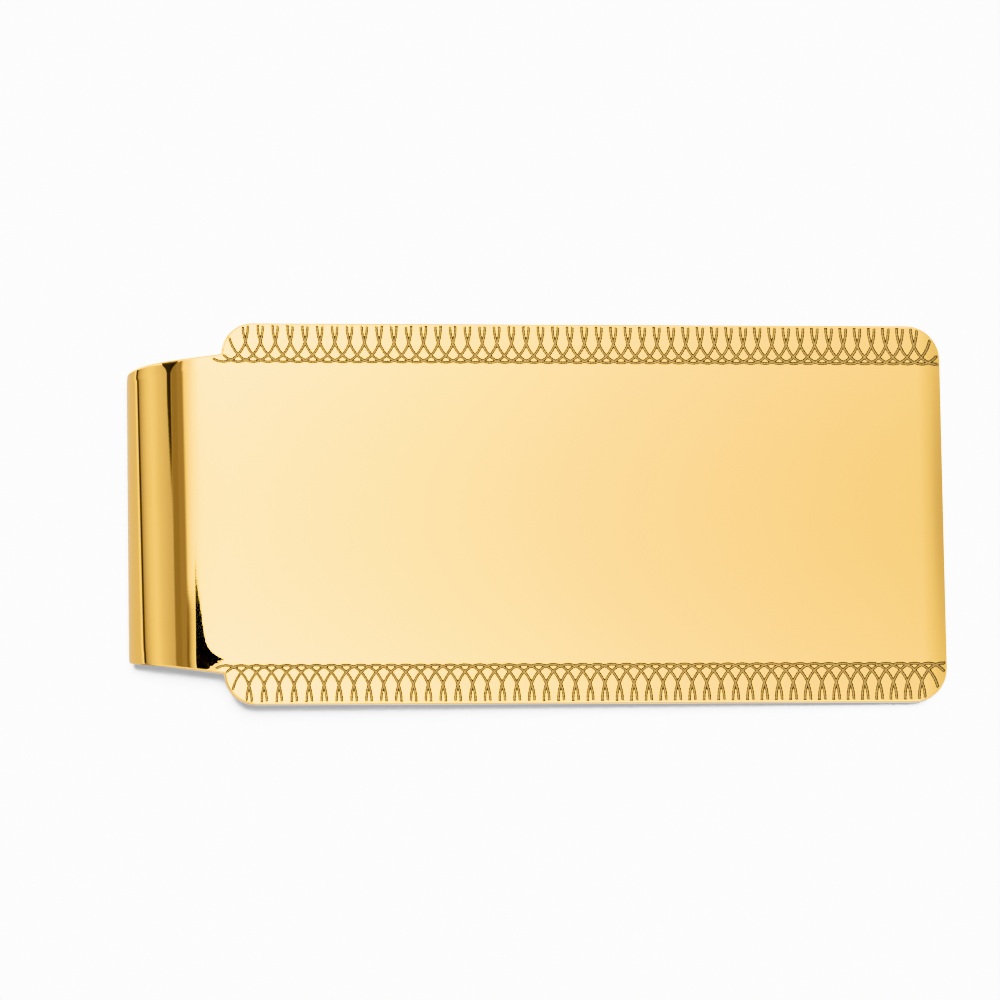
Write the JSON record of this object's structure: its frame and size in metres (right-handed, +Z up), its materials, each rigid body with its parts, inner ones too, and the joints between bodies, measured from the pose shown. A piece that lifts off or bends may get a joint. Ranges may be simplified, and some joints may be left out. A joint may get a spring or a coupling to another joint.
{
  "type": "money clip",
  "caption": "Folded sheet-metal money clip: a winged show plate with looped engraved borders, a narrowed spring fold, and a tapering sprung back leg with a flared lip.",
  "frame": {"origin": "middle of the bounding box's base, on the surface that the clip lies on", "axes": "+X from the fold to the show plate's free end, +Y across the clip, +Z up and out of the show face"},
  "size_m": [0.0558, 0.0258, 0.0072],
  "materials": {
    "gilt_show_face": "gold-plated, mirror polish softened by a very fine lengthwise grain",
    "gilt_polished": "gold-plated, mirror polish"
  },
  "bodies": {
    "plate": {"show_plate": "gilt_show_face", "neck": "gilt_polished", "spring_fold": "gilt_polished"},
    "leg": {"back_leg": "gilt_polished", "lead_in_lip": "gilt_polished"}
  },
  "joints": [
    {"name": "leg_flex", "type": "hinge", "parent": "plate", "child": "leg", "pos_m": [-0.02431, 0, 0.0036], "axis": [0, 1, 0], "range_deg": [0, 8], "stiffness_Nm_per_rad": 3, "springref_deg": -1, "deforming": ["spring_fold"]}
  ]
}
